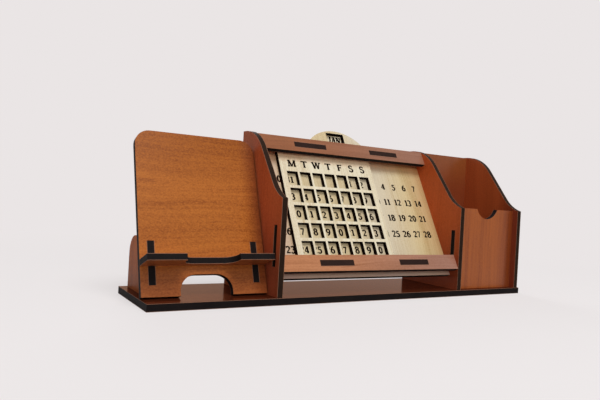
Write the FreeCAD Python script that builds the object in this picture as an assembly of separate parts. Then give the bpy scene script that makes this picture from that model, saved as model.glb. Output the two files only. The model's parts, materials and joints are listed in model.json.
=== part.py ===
"""Desk organiser with a perpetual calendar: a laser-cut board assembly.

Three bays stand on one base board: a leaning phone rest on the left, a perpetual calendar in the
middle with an open slot under it, and a tall pen box on the right.  The boards are joined by tabs
in slots.  The calendar has a slider with day windows, which runs in a channel in front of a
numbered panel, and a month wheel, which turns on a screw behind the panel.

Millimetres.  +Z is up, +X runs along the base to the pen box, and -Y is the front.
The origin is the centre of the base board's underside.
"""
import FreeCAD, Part
import math
import os

from FreeCAD import Placement, Rotation, Vector

# ---- board stock ---------------------------------------------------------------------------------
BASE_THICKNESS = 4.0
BOARD = 3.5            # uprights, pen box walls, phone rest, rails
STRIP_BOARD = 4.0      # channel strips and phone ribs
PLY = 3.0              # calendar panel, slider and month wheel

# ---- base and bays, along X ----------------------------------------------------------------------
BASE_LENGTH = 270.0
BASE_DEPTH = 56.0
PHONE_BAY = 72.0       # clear width from the base's left end to the left divider
CALENDAR_BAY = 133.5
PEN_BAY = 53.5

# ---- uprights: two dividers and the right end panel share this outline ---------------------------
UPRIGHT_SETBACK = 1.0          # from the base's front edge
UPRIGHT_FRONT_HEIGHT = 58.9    # top of the straight front edge
UPRIGHT_TOP = 99.3
TOP_FLAT = 3.4                 # level stretch at the rear of the top edge
SLOPE_ANGLE = 51.8             # straight run of the S-shaped front edge, from level
LOWER_RADIUS = 24.9
UPPER_RADIUS = 28.4
FRONT_SLOT_OFFSET = 4.3        # from the upright's front edge to the pen box front's slot
FRONT_SLOT_LOW = 20.3
FRONT_SLOT_LENGTH = 23.4
FOOT_TAB = 12.0                # length of the tabs that stand in the base
FOOT_TAB_INSET = 9.0           # from an upright's front and rear edges to its foot tabs
FINGER_LENGTH = 18.0           # fingers of the pen box back in the uprights' rear edges
FINGER_LEVELS = (26.0, 68.0)   # lower end of each finger

# ---- pen box -------------------------------------------------------------------------------------
PEN_FRONT_TOP = 59.0
PEN_BACK_TOP = 98.9
THUMB_NOTCH_RADIUS = 11.0
THUMB_NOTCH_DEPTH = 6.8
PEN_FOOT_TAB = 20.0

# ---- phone rest ----------------------------------------------------------------------------------
PHONE_LEAN = 19.5              # from upright
PLATE_FRONT = 10.8             # from the base's front edge to the plate's face, at the base's top
PLATE_INSET = 0.3              # from the base's left end to the plate's left edge
PLATE_WIDTH = 71.0
PLATE_TOP = 93.2               # up the slope
PLATE_CORNER = 8.5
ARCH_WIDTH = 29.6
ARCH_TOP = 12.5
ARCH_CORNER = 9.0
RIB_SPACING = 58.9
RIB_TAB_LOW = 7.3
RIB_TAB_TOP = 30.7
RIB_REAR = 53.5                # from the base's front edge
RIB_TOP = 33.9
RIB_CORNER = 11.0
LEDGE_LOW = 17.3               # up the slope to the ledge's underside
LEDGE_DEPTH = 13.3
LEDGE_TAB = 41.0
NOTCH_WIDTH = 29.5
NOTCH_DEPTH = 9.4
NOTCH_CORNER = 6.5

# ---- calendar: u along X from the bay's centre, v up the slope, w out of the panel's face --------
CALENDAR_LEAN = 28.0
PANEL_FOOT_FRONT = 8.0         # from the base's front edge to the foot of the panel's face
PANEL_FOOT_HEIGHT = 13.3
PANEL_SHOULDER = 90.7
PANEL_TAB_LENGTH = 11.0
PANEL_TAB_LEVELS = (54.0, 74.0)
CHANNEL_DEPTH = 5.1            # panel face to rail
RAIL_HEIGHT = 10.0
LOWER_RAIL_CENTRE = 6.1
RAIL_SPACING = 80.0
STRIP_TAB = 24.0
STRIP_TAB_SPACING = 59.5
DOME_RADIUS = 29.5
PIVOT_SHIFT = -1.3             # centre of the dome and the month wheel from the bay's centre
PIVOT_LEVEL = 76.6
MONTH_WINDOW_WIDTH = 14.2
MONTH_WINDOW_HEIGHT = 7.6
MONTH_WINDOW_TOP = 104.2

# ---- slider --------------------------------------------------------------------------------------
COLUMNS = 7
ROWS = 5
COLUMN_PITCH = 9.3
ROW_PITCH = 11.8
TOP_ROW = 64.4                 # centre of the top row of windows
DAY_WINDOW_WIDTH = 7.8
DAY_WINDOW_HEIGHT = 9.8
GRID_SHIFT = 2.0               # centre of the panel's middle column from the bay's centre
REST_SHIFT = -2                # columns from the middle column to the slider's centre at rest
REST_OFFSET = 0.4              # how far past that column the slider has been left
SLIDER_WIDTH = 71.8
SLIDER_PLAY = 0.15             # to the strips above and below, and to the panel

# ---- month wheel and its pivot -------------------------------------------------------------------
WHEEL_RADIUS = 28.8
SCREW_RADIUS = 1.5
SCREW_HEAD_RADIUS = 2.75
SCREW_SLOT_WIDTH = 0.8
WHEEL_CLEARANCE = 0.05         # round the screw, and to the washer on each side
WASHER_RADIUS = 3.5
WASHER_THICKNESS = 0.4
NUT_WIDTH = 5.5
NUT_HEIGHT = 2.4
SCREW_END = 0.6                # thread beyond the nut

# ---- places worked out from the sizes above ------------------------------------------------------
LEFT = -BASE_LENGTH / 2
FRONT = -BASE_DEPTH / 2
REAR = BASE_DEPTH / 2
LEFT_DIVIDER = LEFT + PHONE_BAY
CALENDAR_LEFT = LEFT_DIVIDER + BOARD
RIGHT_DIVIDER = CALENDAR_LEFT + CALENDAR_BAY
PEN_LEFT = RIGHT_DIVIDER + BOARD
END_PANEL = PEN_LEFT + PEN_BAY
UPRIGHTS = {"left_divider": LEFT_DIVIDER, "right_divider": RIGHT_DIVIDER, "right_end_panel": END_PANEL}

UPRIGHT_FRONT = FRONT + UPRIGHT_SETBACK
PEN_FRONT = UPRIGHT_FRONT + FRONT_SLOT_OFFSET
PEN_CENTRE = PEN_LEFT + PEN_BAY / 2

CALENDAR_CENTRE = CALENDAR_LEFT + CALENDAR_BAY / 2
CALENDAR_FRAME = Placement(
    Vector(CALENDAR_CENTRE, FRONT + PANEL_FOOT_FRONT, PANEL_FOOT_HEIGHT),
    Rotation(Vector(1, 0, 0), 90 - CALENDAR_LEAN))
PLATE_FRAME = Placement(
    Vector(LEFT + PLATE_INSET + PLATE_WIDTH / 2, FRONT + PLATE_FRONT, BASE_THICKNESS),
    Rotation(Vector(1, 0, 0), 90 - PHONE_LEAN))
PLATE_BOTTOM = BOARD * math.tan(math.radians(PHONE_LEAN))    # its rear corner stands on the base
RAIL_FACE = CHANNEL_DEPTH + BOARD
RAIL_CENTRES = {"lower": LOWER_RAIL_CENTRE, "upper": LOWER_RAIL_CENTRE + RAIL_SPACING}
WHEEL_FACE = -PLY - WASHER_THICKNESS - WHEEL_CLEARANCE
WHEEL_BACK = WHEEL_FACE - PLY
NUT_FACE = WHEEL_BACK - WHEEL_CLEARANCE - WASHER_THICKNESS


# ---- small tools ---------------------------------------------------------------------------------
def block(x0, x1, y0, y1, z0, z1):
    """A box between two corners."""
    return Part.makeBox(x1 - x0, y1 - y0, z1 - z0, Vector(x0, y0, z0))


def cylinder(radius, z0, z1, x=0.0, y=0.0):
    return Part.makeCylinder(radius, z1 - z0, Vector(x, y, z0))


def join(shapes):
    """Fuse solids that touch into one, without the seams between them."""
    return shapes[0].multiFuse(shapes[1:]).removeSplitter()


def round_corners(solid, corners, radius):
    """Round the edges along Z that stand at the given (x, y) corners."""
    def stands_at_corner(edge):
        a, b = edge.Vertexes[0].Point, edge.Vertexes[-1].Point
        if math.hypot(a.x - b.x, a.y - b.y) > 1e-6:
            return False
        return any(math.hypot(a.x - x, a.y - y) < 1e-4 for x, y in corners)
    return solid.makeFillet(radius, [edge for edge in solid.Edges if stands_at_corner(edge)])


def leaning(solid, frame):
    """Move a solid from a leaning board's own frame to the row's frame."""
    moved = solid.copy()
    moved.Placement = frame.multiply(moved.Placement)
    return moved


def arc(centre, radius, start, end):
    """An arc in the YZ plane between two angles in degrees, measured from +Y towards +Z."""
    def point(angle):
        turn = math.radians(angle)
        return centre + Vector(0, radius * math.cos(turn), radius * math.sin(turn))
    return Part.Arc(point(start), point((start + end) / 2), point(end)).toShape()


def side_board(edges, x, thickness):
    """Extrude a closed outline in the YZ plane to a board whose left face is at x."""
    face = Part.Face(Part.Wire(edges))
    face.translate(Vector(x, 0, 0))
    return face.extrude(Vector(thickness, 0, 0))


# ---- tabs: each is made once, joined to its own board and cut from the board that takes it -------
def upright_feet(x):
    front = UPRIGHT_FRONT + FOOT_TAB_INSET
    rear = REAR - FOOT_TAB_INSET - FOOT_TAB
    return [block(x, x + BOARD, y, y + FOOT_TAB, 0, BASE_THICKNESS) for y in (front, rear)]


def pen_foot(y):
    half = PEN_FOOT_TAB / 2
    return block(PEN_CENTRE - half, PEN_CENTRE + half, y, y + BOARD, 0, BASE_THICKNESS)


def pen_front_tab(x):
    top = FRONT_SLOT_LOW + FRONT_SLOT_LENGTH
    return block(x, x + BOARD, PEN_FRONT, PEN_FRONT + BOARD, FRONT_SLOT_LOW, top)


def pen_back_fingers():
    return [block(x, x + BOARD, REAR - BOARD, REAR, z, z + FINGER_LENGTH)
            for x in (RIGHT_DIVIDER, END_PANEL) for z in FINGER_LEVELS]


def rib_positions():
    return {"phone_rib_left": -RIB_SPACING / 2, "phone_rib_right": RIB_SPACING / 2}


def rib_foot(u):
    x = PLATE_FRAME.Base.x + u - STRIP_BOARD / 2
    y = FRONT + RIB_REAR - FOOT_TAB_INSET - FOOT_TAB
    return block(x, x + STRIP_BOARD, y, y + FOOT_TAB, 0, BASE_THICKNESS)


def rib_tab(u):
    half = STRIP_BOARD / 2
    return leaning(block(u - half, u + half, RIB_TAB_LOW, RIB_TAB_TOP, -BOARD, 0), PLATE_FRAME)


def ledge_tab():
    half = LEDGE_TAB / 2
    return leaning(block(-half, half, LEDGE_LOW, LEDGE_LOW + BOARD, -BOARD, 0), PLATE_FRAME)


def panel_tabs():
    edge = CALENDAR_BAY / 2
    return [leaning(block(u, u + BOARD, v, v + PANEL_TAB_LENGTH, -PLY, 0), CALENDAR_FRAME)
            for u in (-edge - BOARD, edge) for v in PANEL_TAB_LEVELS]


def strip_tabs(centre, low, high):
    """The two tabs of a channel strip, through the panel behind it or the rail in front."""
    half = STRIP_TAB / 2
    return [leaning(block(u - half, u + half, centre - STRIP_BOARD / 2, centre + STRIP_BOARD / 2,
                          low, high), CALENDAR_FRAME)
            for u in (-STRIP_TAB_SPACING / 2, STRIP_TAB_SPACING / 2)]


# ---- the frame -----------------------------------------------------------------------------------
def base_plate():
    board = block(LEFT, -LEFT, FRONT, REAR, 0, BASE_THICKNESS)
    slots = [pen_foot(PEN_FRONT), pen_foot(REAR - BOARD)]
    for x in UPRIGHTS.values():
        slots += upright_feet(x)
    for u in rib_positions().values():
        slots.append(rib_foot(u))
    return board.cut(slots)


def upright_outline():
    """The S-shaped side outline, from the front foot round to the rear foot."""
    along = Vector(0, math.cos(math.radians(SLOPE_ANGLE)), math.sin(math.radians(SLOPE_ANGLE)))
    inward = Vector(0, along.z, -along.y)
    front_foot = Vector(0, UPRIGHT_FRONT, BASE_THICKNESS)
    front_top = Vector(0, UPRIGHT_FRONT, UPRIGHT_FRONT_HEIGHT)
    rear_top = Vector(0, REAR, UPRIGHT_TOP)
    rear_foot = Vector(0, REAR, BASE_THICKNESS)
    upper_centre = Vector(0, REAR - TOP_FLAT, UPRIGHT_TOP - UPPER_RADIUS)
    run_end = upper_centre - inward * UPPER_RADIUS
    to_front = front_top - run_end
    rise = -to_front.dot(inward)
    run_start = run_end + along * (to_front.dot(along) + math.sqrt(rise * (2 * LOWER_RADIUS - rise)))
    lower_centre = run_start - inward * LOWER_RADIUS
    first = front_top - lower_centre
    first_angle = math.degrees(math.atan2(first.z, first.y))
    last_angle = SLOPE_ANGLE - 90
    return [
        Part.LineSegment(front_foot, front_top).toShape(),
        arc(lower_centre, LOWER_RADIUS, first_angle, last_angle),
        Part.LineSegment(run_start, run_end).toShape(),
        arc(upper_centre, UPPER_RADIUS, SLOPE_ANGLE + 90, 90),
        Part.LineSegment(upper_centre + Vector(0, 0, UPPER_RADIUS), rear_top).toShape(),
        Part.LineSegment(rear_top, rear_foot).toShape(),
        Part.LineSegment(rear_foot, front_foot).toShape(),
    ]


def upright(x):
    """All three have the pen box front's slot, which stays empty in the left divider."""
    board = join([side_board(upright_outline(), x, BOARD)] + upright_feet(x))
    return board.cut([pen_front_tab(x)] + pen_back_fingers() + panel_tabs())


# ---- pen box -------------------------------------------------------------------------------------
def pen_box_front():
    wall = block(PEN_LEFT, END_PANEL, PEN_FRONT, PEN_FRONT + BOARD, BASE_THICKNESS, PEN_FRONT_TOP)
    wall = join([wall, pen_foot(PEN_FRONT), pen_front_tab(RIGHT_DIVIDER), pen_front_tab(END_PANEL)])
    notch_centre = PEN_FRONT_TOP + THUMB_NOTCH_RADIUS - THUMB_NOTCH_DEPTH
    notch = Part.makeCylinder(THUMB_NOTCH_RADIUS, BOARD,
                              Vector(PEN_CENTRE, PEN_FRONT, notch_centre), Vector(0, 1, 0))
    return wall.cut(notch)


def pen_box_back():
    wall = block(PEN_LEFT, END_PANEL, REAR - BOARD, REAR, BASE_THICKNESS, PEN_BACK_TOP)
    return join([wall, pen_foot(REAR - BOARD)] + pen_back_fingers())


# ---- phone rest ----------------------------------------------------------------------------------
def phone_back_plate():
    edge = PLATE_WIDTH / 2
    plate = block(-edge, edge, PLATE_BOTTOM, PLATE_TOP, -BOARD, 0)
    plate = round_corners(plate, [(-edge, PLATE_TOP), (edge, PLATE_TOP)], PLATE_CORNER)
    half = ARCH_WIDTH / 2
    arch = block(-half, half, PLATE_BOTTOM - BOARD, ARCH_TOP, -BOARD, 0)
    arch = round_corners(arch, [(-half, ARCH_TOP), (half, ARCH_TOP)], ARCH_CORNER)
    plate = leaning(plate.cut(arch), PLATE_FRAME)
    return plate.cut([rib_tab(u) for u in rib_positions().values()] + [ledge_tab()])


def phone_ledge():
    edge = PLATE_WIDTH / 2
    shelf = block(-edge, edge, LEDGE_LOW, LEDGE_LOW + BOARD, 0, LEDGE_DEPTH)
    half = NOTCH_WIDTH / 2
    floor = LEDGE_DEPTH - NOTCH_DEPTH
    notch = block(-half, half, floor, LEDGE_DEPTH + NOTCH_CORNER, 0, BOARD)
    notch = round_corners(notch, [(-half, floor), (half, floor)], NOTCH_CORNER)
    # The notch is drawn flat, with its depth along Y, and then turned to run out of the plate's face.
    notch.Placement = Placement(Vector(0, LEDGE_LOW + BOARD, 0), Rotation(Vector(1, 0, 0), 90))
    return join([leaning(shelf.cut(notch), PLATE_FRAME), ledge_tab()])


def phone_rib(u):
    """An upright bracket behind the plate, with a foot in the base and a tab through the plate."""
    lean = math.tan(math.radians(PHONE_LEAN))
    plate_rear = FRONT + PLATE_FRONT + BOARD / math.cos(math.radians(PHONE_LEAN))
    rear = FRONT + RIB_REAR
    front_foot = Vector(0, plate_rear, BASE_THICKNESS)
    front_top = Vector(0, plate_rear + lean * (RIB_TOP - BASE_THICKNESS), RIB_TOP)
    corner = Vector(0, rear - RIB_CORNER, RIB_TOP - RIB_CORNER)
    rear_foot = Vector(0, rear, BASE_THICKNESS)
    outline = [
        Part.LineSegment(front_foot, front_top).toShape(),
        Part.LineSegment(front_top, corner + Vector(0, 0, RIB_CORNER)).toShape(),
        arc(corner, RIB_CORNER, 90, 0),
        Part.LineSegment(corner + Vector(0, RIB_CORNER, 0), rear_foot).toShape(),
        Part.LineSegment(rear_foot, front_foot).toShape(),
    ]
    x = PLATE_FRAME.Base.x + u - STRIP_BOARD / 2
    return join([side_board(outline, x, STRIP_BOARD), rib_foot(u), rib_tab(u)])


# ---- calendar ------------------------------------------------------------------------------------
def calendar_panel():
    half = CALENDAR_BAY / 2
    sheet = block(-half, half, 0, PANEL_SHOULDER, -PLY, 0)
    dome = cylinder(DOME_RADIUS, -PLY, 0, PIVOT_SHIFT, PIVOT_LEVEL)
    sheet = join([sheet, dome])
    window = MONTH_WINDOW_WIDTH / 2
    sheet = sheet.cut(block(PIVOT_SHIFT - window, PIVOT_SHIFT + window,
                            MONTH_WINDOW_TOP - MONTH_WINDOW_HEIGHT, MONTH_WINDOW_TOP, -PLY, 0))
    sheet = join([leaning(sheet, CALENDAR_FRAME)] + panel_tabs())
    holes = [pivot_screw()]
    for centre in RAIL_CENTRES.values():
        holes += strip_tabs(centre, -PLY, 0)
    return sheet.cut(holes)


def channel_strip(centre):
    half = CALENDAR_BAY / 2
    bar = block(-half, half, centre - STRIP_BOARD / 2, centre + STRIP_BOARD / 2, 0, CHANNEL_DEPTH)
    tabs = strip_tabs(centre, -PLY, 0) + strip_tabs(centre, CHANNEL_DEPTH, RAIL_FACE)
    return join([leaning(bar, CALENDAR_FRAME)] + tabs)


def rail(centre):
    half = CALENDAR_BAY / 2
    bar = block(-half, half, centre - RAIL_HEIGHT / 2, centre + RAIL_HEIGHT / 2, CHANNEL_DEPTH, RAIL_FACE)
    return leaning(bar, CALENDAR_FRAME).cut(strip_tabs(centre, CHANNEL_DEPTH, RAIL_FACE))


def calendar_slider():
    """The lattice of day windows, set over the days of a month that begins on a Saturday."""
    low = RAIL_CENTRES["lower"] + STRIP_BOARD / 2 + SLIDER_PLAY
    high = RAIL_CENTRES["upper"] - STRIP_BOARD / 2 - SLIDER_PLAY
    centre = GRID_SHIFT + REST_SHIFT * COLUMN_PITCH + REST_OFFSET
    face = SLIDER_PLAY + PLY
    plate = block(centre - SLIDER_WIDTH / 2, centre + SLIDER_WIDTH / 2, low, high, SLIDER_PLAY, face)
    windows = []
    for column in range(COLUMNS):
        u = centre + (column - (COLUMNS - 1) / 2) * COLUMN_PITCH
        for row in range(ROWS):
            v = TOP_ROW - row * ROW_PITCH
            windows.append(block(u - DAY_WINDOW_WIDTH / 2, u + DAY_WINDOW_WIDTH / 2,
                                 v - DAY_WINDOW_HEIGHT / 2, v + DAY_WINDOW_HEIGHT / 2,
                                 SLIDER_PLAY, face))
    return leaning(plate.cut(windows), CALENDAR_FRAME)


# ---- month wheel and its pivot -------------------------------------------------------------------
def month_wheel():
    disc = cylinder(WHEEL_RADIUS, WHEEL_BACK, WHEEL_FACE, PIVOT_SHIFT, PIVOT_LEVEL)
    bore = cylinder(SCREW_RADIUS + WHEEL_CLEARANCE, WHEEL_BACK, WHEEL_FACE, PIVOT_SHIFT, PIVOT_LEVEL)
    return leaning(disc.cut(bore), CALENDAR_FRAME)


def pivot_screw():
    """A countersunk screw whose head is flush with the panel's face, clear of the slider."""
    head_height = SCREW_HEAD_RADIUS - SCREW_RADIUS
    end = NUT_FACE - NUT_HEIGHT - SCREW_END
    shank = cylinder(SCREW_RADIUS, end, -head_height, PIVOT_SHIFT, PIVOT_LEVEL)
    head = Part.makeCone(SCREW_RADIUS, SCREW_HEAD_RADIUS, head_height,
                         Vector(PIVOT_SHIFT, PIVOT_LEVEL, -head_height))
    half = SCREW_SLOT_WIDTH / 2
    slot = block(PIVOT_SHIFT - SCREW_HEAD_RADIUS, PIVOT_SHIFT + SCREW_HEAD_RADIUS,
                 PIVOT_LEVEL - half, PIVOT_LEVEL + half, -head_height / 2, 0)
    return leaning(join([shank, head]).cut(slot), CALENDAR_FRAME)


def washer(top):
    """A washer whose upper face is at the level top, along the pivot."""
    ring = cylinder(WASHER_RADIUS, top - WASHER_THICKNESS, top, PIVOT_SHIFT, PIVOT_LEVEL)
    hole = cylinder(SCREW_RADIUS, top - WASHER_THICKNESS, top, PIVOT_SHIFT, PIVOT_LEVEL)
    return leaning(ring.cut(hole), CALENDAR_FRAME)


def lock_nut():
    corner = NUT_WIDTH / 2 / math.cos(math.pi / 6)
    turns = [k * math.pi / 3 for k in range(7)]
    points = [Vector(PIVOT_SHIFT + corner * math.cos(turn), PIVOT_LEVEL + corner * math.sin(turn),
                     NUT_FACE - NUT_HEIGHT) for turn in turns]
    hexagon = Part.Face(Part.makePolygon(points)).extrude(Vector(0, 0, NUT_HEIGHT))
    hole = cylinder(SCREW_RADIUS, NUT_FACE - NUT_HEIGHT, NUT_FACE, PIVOT_SHIFT, PIVOT_LEVEL)
    return leaning(hexagon.cut(hole), CALENDAR_FRAME)


# ---- assembly ------------------------------------------------------------------------------------
def build():
    parts = {"base_plate": base_plate()}
    for name, x in UPRIGHTS.items():
        parts[name] = upright(x)
    parts["pen_box_front"] = pen_box_front()
    parts["pen_box_back"] = pen_box_back()
    parts["phone_back_plate"] = phone_back_plate()
    parts["phone_ledge"] = phone_ledge()
    for name, u in rib_positions().items():
        parts[name] = phone_rib(u)
    parts["calendar_panel"] = calendar_panel()
    parts["calendar_slider"] = calendar_slider()
    for level, centre in RAIL_CENTRES.items():
        parts[level + "_rail"] = rail(centre)
        parts[level + "_channel_strip"] = channel_strip(centre)
    parts["month_wheel"] = month_wheel()
    parts["pivot_screw"] = pivot_screw()
    parts["front_washer"] = washer(-PLY)
    parts["rear_washer"] = washer(NUT_FACE + WASHER_THICKNESS)
    parts["lock_nut"] = lock_nut()
    return parts


def main():
    os.makedirs("parts", exist_ok=True)
    for name, shape in build().items():
        solids = shape.Solids
        if len(solids) != 1 or not solids[0].isValid():
            raise RuntimeError(name + " is not one valid solid")
        solids[0].exportStep("parts/" + name + ".step")
        size = solids[0].BoundBox
        print("%-22s %7.1f %7.1f %7.1f  %9.1f mm3" % (name, size.XLength, size.YLength, size.ZLength,
                                                    solids[0].Volume))


main()
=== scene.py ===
"""Looks of the desk organiser: wood laminate boards, burnt edges, lettering, light and camera."""

import json
import math

import bpy
from mathutils import Matrix, Vector


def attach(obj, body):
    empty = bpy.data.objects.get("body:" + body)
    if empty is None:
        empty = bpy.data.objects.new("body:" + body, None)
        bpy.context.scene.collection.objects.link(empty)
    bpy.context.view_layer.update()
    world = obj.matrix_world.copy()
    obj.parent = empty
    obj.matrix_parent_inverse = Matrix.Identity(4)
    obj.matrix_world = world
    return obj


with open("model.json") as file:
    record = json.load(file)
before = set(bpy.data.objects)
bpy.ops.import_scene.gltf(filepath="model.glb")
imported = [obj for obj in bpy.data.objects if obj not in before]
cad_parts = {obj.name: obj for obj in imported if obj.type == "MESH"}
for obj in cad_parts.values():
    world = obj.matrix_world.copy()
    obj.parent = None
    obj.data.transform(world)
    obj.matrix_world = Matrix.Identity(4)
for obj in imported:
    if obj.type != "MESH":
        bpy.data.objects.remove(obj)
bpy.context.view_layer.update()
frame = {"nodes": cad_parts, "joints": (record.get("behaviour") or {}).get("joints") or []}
nodes = frame["nodes"]
joints = {joint["name"]: joint for joint in frame["joints"]}

MM = 0.001
SIDEWAYS = Vector((1, 0, 0))
DEPTHWAYS = Vector((0, 1, 0))
UPRIGHT = Vector((0, 0, 1))


# Places worked out from the frame

def unit(direction):
    return Vector(direction).normalized()


def reach(node, direction):
    """Lowest and highest place of a node along a direction."""
    places = [corner.co.dot(direction) for corner in nodes[node].data.vertices]
    return min(places), max(places)


def levels(node, direction):
    """Every different place of a node's corners along a direction, in order."""
    return sorted({round(corner.co.dot(direction), 5) for corner in nodes[node].data.vertices})


def board_normal(node):
    """Direction of a flat board's two largest faces."""
    areas = {}
    for face in nodes[node].data.polygons:
        way = tuple(round(abs(part), 2) for part in face.normal)
        if way not in areas:
            areas[way] = [0.0, face.normal.copy()]
        areas[way][0] += face.area
    return max(areas.values(), key=lambda entry: entry[0])[1].normalized()


def middles(edges):
    """Middles of the openings between an outline's inner edges, the outer two edges left out."""
    inner = edges[1:-1]
    return [(low + high) / 2 for low, high in zip(inner[0::2], inner[1::2])]


SPIN = joints["month_wheel_spin"]
SLIDE = joints["slider_slide"]
PANEL_OUT = unit(SPIN["axis"])
PANEL_UP = PANEL_OUT.cross(SIDEWAYS)
PIVOT = Vector(SPIN["pos_m"])
PANEL_FACE = reach("calendar_panel", PANEL_OUT)[1]
SLIDER_FACE = reach("calendar_slider", PANEL_OUT)[1]
WHEEL_FACE = reach("month_wheel", PANEL_OUT)[1]
WINDOW_COLUMNS = middles(levels("calendar_slider", SIDEWAYS))
WINDOW_ROWS = middles(levels("calendar_slider", PANEL_UP))[::-1]
COLUMN_PITCH = (WINDOW_COLUMNS[-1] - WINDOW_COLUMNS[0]) / (len(WINDOW_COLUMNS) - 1)
FIRST_COLUMN = WINDOW_COLUMNS[0] + SLIDE["range_m"][0]
LAST_COLUMN = WINDOW_COLUMNS[-1] + SLIDE["range_m"][1]
COLUMN_COUNT = round((LAST_COLUMN - FIRST_COLUMN) / COLUMN_PITCH) + 1


# Shader maths

class Value:
    """One output in a finish's node tree. Sums on values add Math nodes."""

    def __init__(self, finish, output):
        self.finish = finish
        self.output = output

    def math(self, operation, *terms):
        return self.finish.node("ShaderNodeMath", {"operation": operation}, terms)

    def __add__(self, other):
        return self.math("ADD", self, other)

    def __mul__(self, other):
        return self.math("MULTIPLY", self, other)

    def __sub__(self, other):
        return self.math("SUBTRACT", self, other)

    def __rsub__(self, other):
        return self.math("SUBTRACT", other, self)

    def __gt__(self, other):
        return self.math("GREATER_THAN", self, other)

    def __abs__(self):
        return self.math("ABSOLUTE", self)

    __radd__ = __add__
    __rmul__ = __mul__


class Finish:
    """A material made of nodes."""

    def __init__(self, name, owner=None):
        self.owner = owner or bpy.data.materials.new(name)
        self.owner.use_nodes = True
        self.tree = self.owner.node_tree
        self.tree.nodes.clear()

    def node(self, kind, settings=None, inputs=(), output=0):
        """Adds a node: its settings first, then the values or links of its sockets."""
        made = self.tree.nodes.new(kind)
        for name, value in (settings or {}).items():
            if name == "stops":
                self.set_stops(made.color_ramp, value)
            else:
                setattr(made, name, value)
        pairs = inputs.items() if isinstance(inputs, dict) else enumerate(inputs)
        for place, value in pairs:
            if isinstance(value, Value):
                self.tree.links.new(value.output, made.inputs[place])
            else:
                made.inputs[place].default_value = value
        return Value(self, made.outputs[output]) if made.outputs else None

    def set_stops(self, ramp, stops):
        while len(ramp.elements) < len(stops):
            ramp.elements.new(0.5)
        for element, (place, colour) in zip(ramp.elements, stops):
            element.position = place
            element.color = colour

    def mix(self, factor, first, second):
        """A colour between two colours."""
        return self.node("ShaderNodeMix", {"data_type": "RGBA"}, {0: factor, 6: first, 7: second}, output=2)

    def ramp(self, value, *stops):
        return self.node("ShaderNodeValToRGB", {"stops": stops}, [value])

    def along(self, vector, direction):
        """How far a vector reaches in a direction, as a value."""
        return self.node("ShaderNodeVectorMath", {"operation": "DOT_PRODUCT"}, [vector, direction],
                         output="Value")

    def between(self, value, start, end, first=0.0, last=1.0, curve="LINEAR"):
        """Runs from first to last while a value goes from start to end."""
        return self.node("ShaderNodeMapRange", {"interpolation_type": curve},
                         [value, start, end, first, last])

    def noise(self, place, detail=2.0, roughness=0.5):
        """Cloudy noise from 0 to 1 at a place given as three values."""
        vector = self.node("ShaderNodeCombineXYZ", None, place)
        return self.node("ShaderNodeTexNoise", None,
                         {"Vector": vector, "Scale": 1.0, "Detail": detail, "Roughness": roughness})

    def coating(self, colour, roughness, index, relief, depth, metallic=0.0, film=None):
        """One surface, with a relief that is depth high and, if named, a tinted film over it."""
        bump = self.node("ShaderNodeBump", None, {"Strength": 1.0, "Distance": depth, "Height": relief})
        return self.node("ShaderNodeBsdfPrincipled", None, {
            "Base Color": colour, "Roughness": roughness, "IOR": index, "Metallic": metallic, "Normal": bump,
            "Coat Weight": 1.0 if film else 0.0, "Coat IOR": FILM_INDEX, "Coat Tint": film or (1, 1, 1, 1)})

    def done(self, shader):
        """Ends the tree with its output and returns what owns it."""
        self.node("ShaderNodeOutputMaterial", None, {"Surface": shader})
        return self.owner


def paint(red, green, blue):
    """A screen colour from 0 to 255 as the linear colour that Blender takes."""
    def linear(part):
        part = part / 255
        return part / 12.92 if part <= 0.04045 else ((part + 0.055) / 1.055) ** 2.4
    return (linear(red), linear(green), linear(blue), 1.0)


# Finishes

# Tones of cut edges: dark, light and the paler rim, which is partly the laminate skin and partly a painted
# highlight on the corner
BURNT = (paint(8, 7, 8), paint(40, 34, 33), paint(172, 126, 102))
# Browner, lighter char for the dividers and end panel: partly painted light where more light falls on the
# dividers' curved edges.
BURNT_WALLS = (paint(14, 9, 7), paint(58, 42, 32), paint(172, 126, 102))
BURNT_TABS = (paint(20, 14, 13), paint(62, 44, 38), paint(172, 126, 102))
# Char of the cream boards: real brown-black char, made darker as painted shade for the shaded walls of the
# slider's windows.
SOOT_AND_SHADE = (paint(3, 1, 1), paint(25, 9, 5), paint(60, 34, 24))
RIM = 0.2 * MM
RIM_STRENGTH = 0.65
EDGE_WAYS = (unit((1, 0.7, 0.3)), unit((0.2, -0.6, 1)))
# Cells to a metre: of the streaks across the edge and through the board, and of the patches
STREAK_CELLS = 2600
THROUGH_CELLS = 60
PATCH_CELLS = 160
STREAK_SHARE = 0.6
PATCH_SHARE = 0.4
EDGE_RELIEF = 0.02 * MM
EDGE_ROUGHNESS = 0.45
ROUGHNESS_SPREAD = 0.2
BURNT_INDEX = 1.1


def burnt_edge(finish, node, place, normal, seed, char):
    """A laser-cut edge: near black and matt, with fine streaks across the board and a paler rim of laminate
    skin and painted highlight.
    """
    through = finish.along(place, normal)
    first, second = (finish.along(place, way) for way in EDGE_WAYS)
    streaks = finish.noise([first * STREAK_CELLS, second * STREAK_CELLS, through * THROUGH_CELLS + seed])
    patches = finish.noise([first * PATCH_CELLS, second * PATCH_CELLS, seed])
    dark, light, rim_skin_and_highlight = char
    burnt = finish.mix(streaks * STREAK_SHARE + patches * PATCH_SHARE, dark, light)
    low, high = reach(node, normal)
    # Rim along both faces: partly laminate skin, partly a painted highlight on the corner.
    rim = abs(through - (low + high) / 2) > (high - low) / 2 - RIM
    return finish.coating(finish.mix(rim * RIM_STRENGTH, burnt, rim_skin_and_highlight),
                          streaks * ROUGHNESS_SPREAD + EDGE_ROUGHNESS, BURNT_INDEX, streaks, EDGE_RELIEF)


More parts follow.
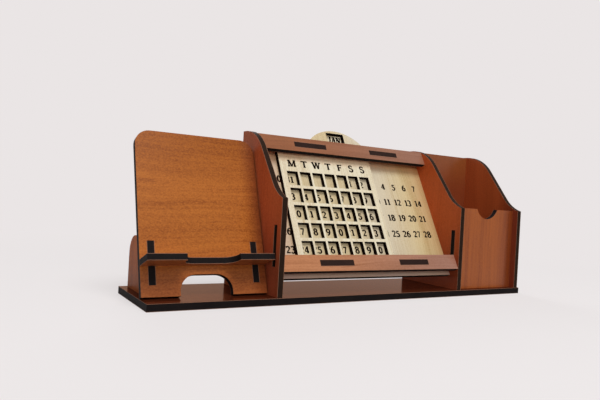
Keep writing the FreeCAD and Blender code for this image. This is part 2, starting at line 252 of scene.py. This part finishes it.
# Figures of the grain: cells to a metre along and across it, bend by the wander, detail and roughness
WANDER = (10, 22, 0, 2.0, 0.5)
BANDS = (4, 90, 2, 3.0, 0.5)
STREAKS = (14, 700, 8, 3.0, 0.6)
MOTTLE = (900, 1200, 0, 4.0, 0.75)
SCORCH = (16, 260, 4, 2.0, 0.5)
SIDE_CELLS = 200
SCORCH_SHIFT = 9
SCORCH_LIMIT = 0.71
SCORCH_DEPTH = 0.2
BAND_SHARE = 0.9
GRAIN_RELIEF = 0.005 * MM
SATIN_SPREAD = 0.12
TONE_STOPS = (0.2, 0.5, 0.8)
# Painted shade on the cream boards: a warm tone under the upper rail for its shadow and the brown light it
# throws back, and a pinkish-brown tone under the lower rail for its shadow.
RAIL_SHADE_TONE = paint(220, 142, 74)
SHADE_DEPTH = 6 * MM
SHADE_STRENGTH = 0.9
FOOT_SHADE = paint(198, 164, 150)
FOOT_SHADE_STRENGTH = 0.7
FILM_INDEX = 1.02


def stained(finish, wood, place, streaks):
    """Painted shade on a cream board: warm and streaked on its front under the upper rail, pinkish brown
    under the lower rail.
    """
    foot, head = reach("upper_rail", PANEL_UP)
    height = finish.along(place, PANEL_UP)
    shade_share = finish.between(height, foot - SHADE_DEPTH, foot, 0.0, SHADE_STRENGTH)
    front = finish.along(place, PANEL_OUT) > PANEL_FACE - MM
    rail_shaded = finish.mix(shade_share * streaks * front * (head - height > 0), wood, RAIL_SHADE_TONE)
    below = reach("lower_rail", PANEL_UP)[0] - height > -SHADE_DEPTH
    return finish.mix(below * FOOT_SHADE_STRENGTH, rail_shaded, FOOT_SHADE)


def laminate_face(finish, node, place, normal, seed, look):
    """Printed wood grain under a satin film; the look's fades, mostly painted light, shade and reflections,
    change its tones along the board.
    """
    length = finish.along(place, look["grain"])
    width = finish.along(place, normal.cross(look["grain"]).normalized())
    side = finish.along(place, normal) * SIDE_CELLS + seed

    def figure(cells_along, cells_across, bend, detail, roughness, shift=0):
        across = width * cells_across
        if bend:
            across = across + wander * bend
        depth = side + shift if shift else side
        return finish.noise([length * cells_along, across, depth], detail, roughness)

    wander = figure(*WANDER)
    bands = figure(*BANDS)
    streaks = figure(*STREAKS)
    mottle = figure(*MOTTLE)
    scorch = figure(*SCORCH, SCORCH_SHIFT) > SCORCH_LIMIT
    pattern = (bands - 0.5) * BAND_SHARE + (streaks - 0.5) * look["streaks"] + (mottle - 0.5) * look["mottle"]
    tone = pattern * look["contrast"] + 0.5 - scorch * (look["contrast"] * SCORCH_DEPTH)
    wood = finish.ramp(tone, *zip(TONE_STOPS, look["tones"]))
    # Fades: mostly painted light, shade, sheen and reflections, a few the wood's own tone, as noted at each
    # look.
    for tones, way, start, end in look["fades"]:
        low, high = reach(node, way)
        fade = finish.between(finish.along(place, way), low + (high - low) * start, low + (high - low) * end,
                              curve="SMOOTHSTEP")
        wood = finish.mix(fade, wood, finish.ramp(tone, *zip(TONE_STOPS, tones)))
    # Painted shade under the rails on the cream boards.
    if look["stained"]:
        wood = stained(finish, wood, place, streaks)
    return finish.coating(wood, (mottle - 0.5) * SATIN_SPREAD + look["roughness"], look["index"], streaks,
                          GRAIN_RELIEF, film=look["film"])


FACE_LIMIT = 0.9
SEED_STEP = 3.7


def board_finish(node, seed, look):
    """Laminate on a board's two faces and burnt edges all round it."""
    finish = Finish(node + "_laminate")
    normal = board_normal(node)
    place = finish.node("ShaderNodeTexCoord", output="Object")
    facing = finish.node("ShaderNodeTexCoord", output="Normal")
    face = abs(finish.along(facing, normal)) > FACE_LIMIT
    edge = burnt_edge(finish, node, place, normal, seed, look["char"])
    wood = laminate_face(finish, node, place, normal, seed, look)
    return finish.done(finish.node("ShaderNodeMixShader", None, [face, edge, wood]))


# Looks of the boards. A fade is a colour, its way along the board, and the shares where it starts and ends.
# The brown boards are one laminate: their middle colours differ board by board partly as painted light and
# shade

BROWN_SPREAD = ((0.84, 0.78, 0.68), (1, 1, 1), (1.10, 1.14, 1.18))
CREAM_SPREAD = ((0.89, 0.84, 0.76), (1, 1, 1), (1.04, 1.06, 1.09))


def board_look(spread, middle, fades, traits):
    """A look whose colours are each spread into a dark, a middle and a light tone."""
    def tones(colour):
        return [paint(*(min(255, part * share) for part, share in zip(colour, shares))) for shares in spread]
    look = {"tones": tones(middle), "fades": [(tones(colour), *fade) for colour, *fade in fades],
            "contrast": 0.75, "index": 1.4, "stained": False, "film": None}
    look.update(traits)
    return look


def brown(grain, middle, *fades, **traits):
    """A brown board with its grain in the given direction."""
    return board_look(BROWN_SPREAD, middle, fades,
                      {"grain": grain, "char": BURNT, "streaks": 0.5, "mottle": 1.5, "roughness": 0.32,
                       **traits})


def cream(middle, *fades, **traits):
    """A cream board, its grain running up the leaning panel."""
    return board_look(CREAM_SPREAD, middle, fades,
                      {"grain": PANEL_UP, "char": SOOT_AND_SHADE, "streaks": 1.0, "mottle": 1.2, "roughness": 0.45,
                       "stained": True, **traits})


# Ribs lighter towards the top: painted light from above.
RIB = brown(UPRIGHT, (166, 88, 44), ((202, 102, 36), UPRIGHT, 0.1, 0.9), index=1.09)
STRIP = brown(SIDEWAYS, (168, 110, 72), char=BURNT_TABS)
LOOKS = {
    "base_plate": brown(SIDEWAYS, (104, 72, 66), index=1.18, roughness=0.18, film=paint(236, 216, 198)),
    # Lighter towards the top: painted light from above.
    "left_divider": brown(UPRIGHT, (168, 84, 54), ((200, 102, 60), UPRIGHT, 0.2, 0.6),
                          char=BURNT_WALLS, contrast=0.5, index=1.14),
    # Lighter towards the top: painted light from above.
    "right_divider": brown(UPRIGHT, (146, 66, 36), ((194, 90, 44), UPRIGHT, 0.1, 0.6),
                           char=BURNT_WALLS, contrast=0.5, index=1.25),
    # Darker towards the front, beside the pen box front: painted shade.
    "right_end_panel": brown(UPRIGHT, (134, 58, 34), ((182, 86, 42), DEPTHWAYS, 0.05, 0.4),
                             char=BURNT_WALLS, contrast=0.5),
    # Darker towards the right end: painted shade cast by the end panel.
    "pen_box_front": brown(UPRIGHT, (154, 78, 27), ((124, 56, 24), SIDEWAYS, 0.6, 1.0),
                           streaks=1.2, mottle=1.0),
    # Lighter at the top: painted light and sheen where light reaches into the box.
    "pen_box_back": brown(UPRIGHT, (122, 54, 26), ((134, 70, 32), UPRIGHT, 0.7, 1.0), contrast=0.5),
    # Darker at the foot: painted shadow of the ledge. Darker and less blue towards the top: painted shade
    # against the lamp's reflection there. Darker at the right end: painted shadow and reflection of the left
    # divider.
    "phone_back_plate": brown(SIDEWAYS, (150, 81, 36), ((167, 94, 35), UPRIGHT, 0.05, 0.3),
                              ((156, 85, 26), UPRIGHT, 0.6, 1.0), ((122, 60, 26), SIDEWAYS, 0.84, 1.0),
                              contrast=1.0, streaks=0.65, mottle=1.7, index=1.25),
    "phone_ledge": brown(SIDEWAYS, (166, 92, 50), contrast=0.9, index=1.25),
    "phone_rib_left": RIB,
    "phone_rib_right": RIB,
    # Orange at the left end turning pinkish to the right: a painted sheen.
    "lower_rail": brown(SIDEWAYS, (182, 120, 79), ((156, 110, 91), SIDEWAYS, 0.0, 1.0),
                        streaks=1.0, mottle=0.8),
    # Orange at the left end turning pinkish to the right: a painted sheen.
    "upper_rail": brown(SIDEWAYS, (140, 82, 45), ((144, 98, 76), SIDEWAYS, 0.0, 1.0),
                        streaks=1.0, mottle=0.8),
    "lower_channel_strip": STRIP,
    "upper_channel_strip": STRIP,
    # Pinker at the left end: painted shade of the rail and left divider, with brown light bounced off the
    # divider. The yellow-brown right end is the wood's own tone.
    "calendar_panel": cream((202, 175, 149), ((210, 190, 150), SIDEWAYS, 0.08, 0.2),
                            ((208, 193, 165), SIDEWAYS, 0.46, 0.6), ((206, 184, 138), SIDEWAYS, 0.66, 0.88),
                            ((180, 142, 94), SIDEWAYS, 0.84, 1.02)),
    "calendar_slider": cream((224, 212, 184)),
    "month_wheel": cream((224, 212, 184), stained=False),
}
STEEL_PIECES = ("pivot_screw", "front_washer", "rear_washer", "lock_nut")
ZINC = (paint(168, 168, 172), paint(206, 206, 208))
ZINC_CELLS = 900
ZINC_ROUGHNESS = 0.25
ZINC_INDEX = 1.5
ENGRAVED = (paint(7, 3, 2), paint(34, 17, 11))
ENGRAVED_CELLS = 3000
ENGRAVED_ROUGHNESS = 0.55
FINE_DETAIL = 3.0
FINE_RELIEF = 0.01 * MM


def wear(piece, material):
    """Gives a piece one material and no other."""
    piece.data.materials.clear()
    piece.data.materials.append(material)


def zinc_finish():
    """Zinc-plated steel with a faint cloudy patina."""
    finish = Finish("zinc_plated_steel")
    place = finish.node("ShaderNodeTexCoord", output="Object")
    ways = (SIDEWAYS, PANEL_UP, PANEL_OUT)
    cloud = finish.noise([finish.along(place, way) * ZINC_CELLS for way in ways], FINE_DETAIL)
    colour = finish.mix(cloud, *ZINC)
    roughness = cloud * ROUGHNESS_SPREAD + ZINC_ROUGHNESS
    return finish.done(finish.coating(colour, roughness, ZINC_INDEX, cloud, FINE_RELIEF, metallic=1.0))


def engraving_finish():
    """Burnt engraving, almost black, with a little brown in a fine noisy grit."""
    finish = Finish("burnt_engraving")
    place = finish.node("ShaderNodeTexCoord", output="Object")
    across, up = (finish.along(place, way) * ENGRAVED_CELLS for way in (SIDEWAYS, PANEL_UP))
    grit = finish.noise([across, up, 0.0], FINE_DETAIL)
    colour = finish.mix(grit, *ENGRAVED)
    roughness = grit * ROUGHNESS_SPREAD + ENGRAVED_ROUGHNESS
    return finish.done(finish.coating(colour, roughness, BURNT_INDEX, grit, FINE_RELIEF))


def dress_pieces():
    """Gives every board its laminate and every small fastener its zinc."""
    for seed, (name, look) in enumerate(LOOKS.items()):
        wear(nodes[name], board_finish(name, seed * SEED_STEP, look))
    zinc = zinc_finish()
    for name in STEEL_PIECES:
        wear(nodes[name], zinc)


# Lettering: each sign is a few pen strokes in a box one unit high

HEAVY = 0.28
MEDIUM = 0.2
LIGHT = 0.17
SERIF = 0.13
SWELL = 1.5
ARC_STEP = 18


def line(x0, y0, x1, y1, weight=HEAVY):
    """One straight stroke."""
    return [([(x0, y0), (x1, y1)], weight)]


def bar(x0, x1, y, weight=LIGHT):
    """One level stroke."""
    return line(x0, y, x1, y, weight)


def serif(x, y):
    """A short bar just inside the top or the foot of the box."""
    return bar(x - SERIF, x + SERIF, y + (LIGHT / 2 if y < 0.5 else -LIGHT / 2))


def stem(x, weight=HEAVY):
    """A full upright stroke with a serif at both ends."""
    return line(x, 0, x, 1, weight) + serif(x, 0) + serif(x, 1)


def bowl(x, y, across, up, start, end):
    """Part of an oval, broad where the pen runs up or down and thin where it runs sideways."""
    steps = max(3, round(abs(end - start) / ARC_STEP))
    turns = [math.radians(start + (end - start) * step / steps) for step in range(steps + 1)]
    return [([(x + across * math.cos(turn), y + up * math.sin(turn)) for turn in turns], None)]


def turned(strokes, width):
    """The same sign upside down."""
    return [([(width - x, 1 - y) for x, y in points], weight) for points, weight in strokes]


SIX = bowl(0.28, 0.31, 0.19, 0.28, 0, 360) + bowl(0.5, 0.42, 0.41, 0.56, 100, 180)
BAR_TOP = 1 - LIGHT / 2
BAR_FOOT = LIGHT / 2

SIGNS = {
    "0": (0.56, bowl(0.28, 0.5, 0.19, 0.47, 0, 360)),
    "1": (0.48, line(0.25, 0, 0.25, 1) + bar(0.09, 0.41, BAR_FOOT) + line(0.08, 0.84, 0.25, 0.98, LIGHT)),
    "2": (0.56, bowl(0.25, 0.72, 0.18, 0.25, 165, -25) + line(0.42, 0.62, 0.08, 0.08, LIGHT)
          + bar(0.04, 0.5, 0.09, MEDIUM)),
    "3": (0.56, bowl(0.23, 0.74, 0.17, 0.23, 155, -90) + bowl(0.22, 0.27, 0.21, 0.25, 90, -155)),
    "4": (0.56, line(0.36, 0.98, 0.04, 0.3, LIGHT) + bar(0.04, 0.53, 0.28) + line(0.38, 0, 0.38, 1)
          + bar(0.26, 0.5, BAR_FOOT)),
    "5": (0.56, bar(0.12, 0.47, 0.91, MEDIUM) + line(0.14, 0.95, 0.1, 0.55, LIGHT)
          + bowl(0.22, 0.31, 0.22, 0.29, 120, -150)),
    "6": (0.56, SIX),
    "7": (0.53, bar(0.04, 0.48, 0.91, MEDIUM) + line(0.42, 0.9, 0.18, 0, MEDIUM)),
    "8": (0.56, bowl(0.28, 0.75, 0.16, 0.22, 0, 360) + bowl(0.28, 0.27, 0.2, 0.25, 0, 360)),
    "9": (0.56, turned(SIX, 0.56)),
    "A": (0.74, line(0.12, 0, 0.37, 1, LIGHT) + line(0.36, 1, 0.62, 0) + bar(0.2, 0.54, 0.34)
          + serif(0.12, 0) + serif(0.62, 0)),
    "B": (0.66, stem(0.15) + bowl(0.26, 0.75, 0.26, 0.23, 90, -90) + bowl(0.26, 0.27, 0.32, 0.25, 90, -90)
          + bar(0.15, 0.27, BAR_TOP) + bar(0.15, 0.27, 0.52) + bar(0.15, 0.27, BAR_FOOT)),
    "C": (0.68, bowl(0.38, 0.5, 0.3, 0.48, 50, 310) + line(0.6, 0.98, 0.6, 0.7, LIGHT)),
    "D": (0.74, stem(0.15) + bowl(0.26, 0.5, 0.4, 0.48, 90, -90) + bar(0.15, 0.27, BAR_TOP)
          + bar(0.15, 0.27, BAR_FOOT)),
    "E": (0.62, stem(0.15) + bar(0.15, 0.54, BAR_TOP) + bar(0.15, 0.44, 0.52) + bar(0.15, 0.56, BAR_FOOT)
          + line(0.53, 1, 0.53, 0.8, LIGHT) + line(0.55, 0, 0.57, 0.22, LIGHT)),
    "F": (0.58, stem(0.15) + bar(0.15, 0.54, BAR_TOP) + bar(0.15, 0.44, 0.52)
          + line(0.53, 1, 0.53, 0.8, LIGHT) + line(0.43, 0.62, 0.43, 0.42, LIGHT)),
    "G": (0.74, bowl(0.38, 0.5, 0.3, 0.48, 50, 330) + line(0.6, 0.98, 0.6, 0.7, LIGHT)
          + line(0.62, 0.08, 0.62, 0.44) + bar(0.5, 0.73, 0.42)),
    "J": (0.46, line(0.28, 0.2, 0.28, 1) + serif(0.28, 1) + bowl(0.16, 0.18, 0.12, 0.17, 0, -150)),
    "L": (0.6, stem(0.15) + bar(0.15, 0.54, BAR_FOOT) + line(0.53, 0, 0.55, 0.24, LIGHT)),
    "M": (0.9, stem(0.12, weight=LIGHT) + line(0.14, 1, 0.44, 0.04) + line(0.44, 0.04, 0.74, 1, LIGHT)
          + stem(0.76)),
    "N": (0.78, stem(0.13, weight=LIGHT) + line(0.13, 1, 0.64, 0) + line(0.64, 0, 0.64, 1, LIGHT)
          + serif(0.64, 1)),
    "O": (0.76, bowl(0.38, 0.5, 0.3, 0.48, 0, 360)),
    "P": (0.6, stem(0.15) + bowl(0.26, 0.73, 0.28, 0.25, 90, -90) + bar(0.15, 0.27, BAR_TOP)
          + bar(0.15, 0.27, 0.48)),
    "R": (0.7, stem(0.15) + bowl(0.26, 0.75, 0.26, 0.23, 90, -90) + bar(0.15, 0.27, BAR_TOP)
          + bar(0.15, 0.27, 0.52) + line(0.3, 0.52, 0.6, 0)),
    "S": (0.56, bowl(0.28, 0.75, 0.19, 0.22, 30, 270) + bowl(0.28, 0.27, 0.21, 0.25, 90, -150)
          + line(0.45, 0.98, 0.45, 0.76, LIGHT) + line(0.09, 0.02, 0.09, 0.26, LIGHT)),
    "T": (0.7, stem(0.35) + bar(0.04, 0.66, BAR_TOP) + line(0.05, 1, 0.05, 0.8, LIGHT)
          + line(0.65, 1, 0.65, 0.8, LIGHT)),
    "U": (0.76, line(0.16, 0.3, 0.16, 1) + serif(0.16, 1) + bowl(0.38, 0.3, 0.22, 0.28, 180, 360)
          + line(0.6, 0.3, 0.6, 1, LIGHT) + serif(0.6, 1)),
    "V": (0.74, line(0.12, 1, 0.38, 0) + line(0.38, 0, 0.62, 1, LIGHT) + serif(0.12, 1) + serif(0.62, 1)),
    "W": (1.0, line(0.1, 1, 0.3, 0) + line(0.3, 0, 0.5, 1, LIGHT) + line(0.5, 1, 0.7, 0)
          + line(0.7, 0, 0.9, 1, LIGHT) + serif(0.1, 1) + serif(0.5, 1) + serif(0.9, 1)),
    "Y": (0.74, line(0.12, 1, 0.37, 0.46) + line(0.37, 0.46, 0.62, 1, LIGHT) + line(0.37, 0, 0.37, 0.46)
          + serif(0.12, 1) + serif(0.62, 1) + serif(0.37, 0)),
}
SAME_POINT = 1e-6
LETTER_GAP = 0.05
INK = 0.05 * MM
INK_ROOT = 0.01 * MM


def ribbon(points, weight, stretch):
    """Left and right edges of one pen stroke, in a sign drawn wider by stretch."""
    closed = math.dist(points[0], points[-1]) < SAME_POINT
    path = [(x * stretch, y) for x, y in (points[:-1] if closed else points)]
    left, right = [], []
    for index, (x, y) in enumerate(path):
        before = path[index - 1] if closed or index else path[0]
        after = path[(index + 1) % len(path)] if closed or index < len(path) - 1 else path[-1]
        run = Vector((after[0] - before[0], after[1] - before[1])).normalized()
        wide = weight or LIGHT + (HEAVY - LIGHT) * abs(run.y) ** SWELL
        left.append((x - run.y * wide / 2, y + run.x * wide / 2))
        right.append((x + run.y * wide / 2, y - run.x * wide / 2))
    return left, right, closed


class Lettering:
    """Flat raised signs on one face of a board, gathered into one mesh."""

    def __init__(self, out):
        self.out = out
        self.corners = []
        self.faces = []

    def slab(self, left, right, closed, spot):
        """One stroke as a thin closed slab; spot turns a sign's point into a place on the face."""
        start = len(self.corners)
        for rise in (self.out * INK, -self.out * INK_ROOT):
            for edge in (left, right):
                self.corners += [spot(point) + rise for point in edge]
        count = len(left)
        top_left, top_right, foot_left, foot_right = (start + count * part for part in range(4))
        for index in range(count if closed else count - 1):
            after = (index + 1) % count
            self.faces.append((top_right + index, top_right + after, top_left + after, top_left + index))
            self.faces.append((foot_left + index, foot_left + after, foot_right + after, foot_right + index))
            self.faces.append((top_left + index, top_left + after, foot_left + after, foot_left + index))
            self.faces.append((foot_right + index, foot_right + after, top_right + after, top_right + index))
        if not closed:
            last = count - 1
            self.faces.append((top_right, top_left, foot_left, foot_right))
            self.faces.append((top_left + last, top_right + last, foot_right + last, foot_left + last))

    def write(self, text, centre, across, up, height, stretch):
        """Writes text centred on a point, with its own directions across and up."""
        width = sum(SIGNS[sign][0] * stretch for sign in text) + LETTER_GAP * (len(text) - 1)
        pen = -width / 2
        for sign in text:
            advance, strokes = SIGNS[sign]
            for points, weight in strokes:
                left, right, closed = ribbon(points, weight, stretch)
                self.slab(left, right, closed,
                          lambda point, pen=pen: centre + across * ((point[0] + pen) * height)
                          + up * ((point[1] - 0.5) * height))
            pen += advance * stretch + LETTER_GAP

    def build(self, name, body, material):
        """Makes the signs one piece that rides on a body and takes its finish from a slot."""
        mesh = bpy.data.meshes.new(name)
        mesh.from_pydata(self.corners, [], self.faces)
        mesh.update()
        piece = bpy.data.objects.new(name, mesh)
        bpy.context.scene.collection.objects.link(piece)
        wear(piece, material)
        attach(piece, body)


NUMBER_HEIGHT = 4.4 * MM
NUMBER_STRETCH = 1.26
NUMBER_RISE = 0.5 * MM
NUMBER_SHIFT = -0.6 * MM
WEEKDAY_HEIGHT = 4.8 * MM
WEEKDAY_STRETCH = 1.35
MONTH_HEIGHT = 4.8 * MM
MONTH_STRETCH = 1.0
MONTH_RADIUS = 24.7 * MM
WEEKDAY_GAP = 5.65 * MM
WEEKDAY_PITCH = 9.15 * MM
WEEKDAY_SHIFT = 0.4 * MM
WHEEL_TURN = 0.065
LAST_DAY = 31
SECOND_ROW_START = 2
WEEK = 7
MONTHS = ("JAN", "FEB", "MAR", "APR", "MAY", "JUN", "JUL", "AUG", "SEP", "OCT", "NOV", "DEC")


def panel_spot(across, up, face):
    """A place on one of the leaning calendar's faces."""
    return SIDEWAYS * across + PANEL_UP * up + PANEL_OUT * face


def day_in(row, column):
    """The day in a place of the number grid, or None where it stays blank."""
    day = WEEK * (row - 1) + column + SECOND_ROW_START
    if day < 1:
        day += WEEK * len(WINDOW_ROWS)
    return day if day <= LAST_DAY else None


def write_numbers(material):
    """The days on the panel, each under the place that a window can take."""
    numbers = Lettering(PANEL_OUT)
    for row, up in enumerate(WINDOW_ROWS):
        for column in range(COLUMN_COUNT):
            day = day_in(row, column)
            if day:
                across = FIRST_COLUMN + column * COLUMN_PITCH + NUMBER_SHIFT
                spot = panel_spot(across, up + NUMBER_RISE, PANEL_FACE)
                numbers.write(str(day), spot, SIDEWAYS, PANEL_UP, NUMBER_HEIGHT, NUMBER_STRETCH)
    numbers.build("day_numbers", "frame", material)


def write_weekdays(material):
    """The seven weekday letters on the slider, above its windows."""
    weekdays = Lettering(PANEL_OUT)
    up = levels("calendar_slider", PANEL_UP)[-2] + WEEKDAY_GAP
    for index, letter in enumerate("MTWTFSS"):
        across = WINDOW_COLUMNS[WEEK // 2] + (index - WEEK // 2) * WEEKDAY_PITCH + WEEKDAY_SHIFT
        spot = panel_spot(across, up, SLIDER_FACE)
        weekdays.write(letter, spot, SIDEWAYS, PANEL_UP, WEEKDAY_HEIGHT, WEEKDAY_STRETCH)
    weekdays.build("weekday_letters", "slider", material)


def write_months(material):
    """The twelve month names round the wheel, each upright when it stands at the top."""
    months = Lettering(PANEL_OUT)
    hub = PIVOT + PANEL_OUT * (WHEEL_FACE - PIVOT.dot(PANEL_OUT))
    for index, month in enumerate(MONTHS):
        turn = Matrix.Rotation(-2 * math.pi * index / len(MONTHS) - WHEEL_TURN, 3, PANEL_OUT)
        months.write(month, hub + turn @ PANEL_UP * MONTH_RADIUS, turn @ SIDEWAYS, turn @ PANEL_UP,
                     MONTH_HEIGHT, MONTH_STRETCH)
    months.build("month_names", "wheel", material)


# Floor, light and camera

PALE = paint(234, 229, 229)
FLOOR_SEEN = (0.9, 0.87, 0.87, 1.0)
FLOOR_BOUNCE = (0.3, 0.29, 0.29, 1.0)
LIGHT_LEVEL = 0.26
SHADOW_CORE = 0.15
SHADOW_REACH = 0.5
SHADOW_FADE = 0.7
FLOOR_HALF = 20.0
FLOOR_DROP = 0.1 * MM


def lay_floor():
    """A wide floor just under the base board."""
    mesh = bpy.data.meshes.new("floor")
    corners = [(x * FLOOR_HALF, y * FLOOR_HALF, -FLOOR_DROP) for x, y in ((-1, -1), (1, -1), (1, 1), (-1, 1))]
    mesh.from_pydata(corners, [], [(0, 1, 2, 3)])
    floor = bpy.data.objects.new("floor", mesh)
    bpy.context.scene.collection.objects.link(floor)
    wear(floor, floor_finish())


def floor_finish():
    """A pale matt floor; away from the organiser the camera sees it in the background's colour."""
    finish = Finish("pale_floor")
    place = finish.node("ShaderNodeTexCoord", output="Object")
    distance = finish.node("ShaderNodeVectorMath", {"operation": "LENGTH"}, [place], output="Value")
    far = finish.between(distance, SHADOW_CORE, SHADOW_REACH, SHADOW_FADE, 1.0, "SMOOTHSTEP")
    camera_ray = finish.node("ShaderNodeLightPath", output="Is Camera Ray")
    glossy_ray = finish.node("ShaderNodeLightPath", output="Is Glossy Ray")
    dull = finish.node("ShaderNodeBsdfDiffuse", None, [FLOOR_BOUNCE])
    matt = finish.node("ShaderNodeBsdfDiffuse", None, [FLOOR_SEEN])
    glow = finish.node("ShaderNodeEmission", None, [PALE, 1.0])
    near = finish.node("ShaderNodeMixShader", None, [camera_ray + glossy_ray, dull, matt])
    seen = finish.node("ShaderNodeMixShader", None, [far * camera_ray, near, glow])
    return finish.done(seen)


def light_world():
    """Even light from all round; rays from the camera and in reflections see a pale background."""
    world = bpy.data.worlds.new("studio")
    bpy.context.scene.world = world
    finish = Finish("studio", world)
    seen = finish.node("ShaderNodeLightPath", output="Is Camera Ray")
    glossy = finish.node("ShaderNodeLightPath", output="Is Glossy Ray")
    sent = finish.node("ShaderNodeLightPath", output="Is Transmission Ray")
    shown = seen + glossy + sent
    backdrop = finish.node("ShaderNodeBackground", None, [PALE, 1.0])
    light = finish.node("ShaderNodeBackground", None, [(1, 1, 1, 1), LIGHT_LEVEL])
    both = finish.node("ShaderNodeMixShader", None, [shown, light, backdrop])
    finish.node("ShaderNodeOutputWorld", None, {"Surface": both})


# Lamps: name, place, width and power
LAMPS = (
    ("key_lamp", (-0.05, -0.74, 1.25), 0.7, 12.3),
    ("fill_lamp", (-0.3, -1.4, 0.55), 0.9, 6.3),
    ("rear_lamp", (0.25, 1.3, 0.8), 0.9, 7.0),
)
LAMP_AIM = Vector((0, 0, 0.05))


def hang_lamp(name, place, size, power):
    """A round soft lamp aimed at the middle of the organiser."""
    lamp = bpy.data.lights.new(name, "AREA")
    lamp.shape = "DISK"
    lamp.size = size
    lamp.energy = power
    holder = bpy.data.objects.new(name, lamp)
    holder.location = place
    holder.rotation_euler = (LAMP_AIM - Vector(place)).to_track_quat("-Z", "Y").to_euler()
    bpy.context.scene.collection.objects.link(holder)


CAMERA_PLACE = Vector((-0.216197, -0.301376, 0.057865))
CAMERA_YAW = 0.539427
CAMERA_PITCH = -0.001053
CAMERA_ROLL = 0.056072
CAMERA_LENS = 34.491
CAMERA_SENSOR = 36
CAMERA_NEAR = 0.01
CAMERA_FAR = 100


def stand_camera():
    """A camera turned right by its yaw, level but for a slight roll."""
    forward = Vector((math.sin(CAMERA_YAW) * math.cos(CAMERA_PITCH),
                      math.cos(CAMERA_YAW) * math.cos(CAMERA_PITCH), -math.sin(CAMERA_PITCH)))
    right = Vector((math.cos(CAMERA_YAW), -math.sin(CAMERA_YAW), 0))
    up = right.cross(forward)
    rolled = math.cos(CAMERA_ROLL) * right + math.sin(CAMERA_ROLL) * up
    raised = math.cos(CAMERA_ROLL) * up - math.sin(CAMERA_ROLL) * right
    data = bpy.data.cameras.new("camera")
    data.sensor_width = CAMERA_SENSOR
    data.lens = CAMERA_LENS
    data.clip_start = CAMERA_NEAR
    data.clip_end = CAMERA_FAR
    camera = bpy.data.objects.new("camera", data)
    turn = Matrix((rolled, raised, -forward)).transposed()
    camera.matrix_world = Matrix.Translation(CAMERA_PLACE) @ turn.to_4x4()
    bpy.context.scene.collection.objects.link(camera)
    bpy.context.scene.camera = camera


dress_pieces()
engraving = engraving_finish()
write_numbers(engraving)
write_weekdays(engraving)
write_months(engraving)
lay_floor()
light_world()
for lamp_entry in LAMPS:
    hang_lamp(*lamp_entry)
stand_camera()
bpy.context.scene.view_settings.view_transform = "Standard"
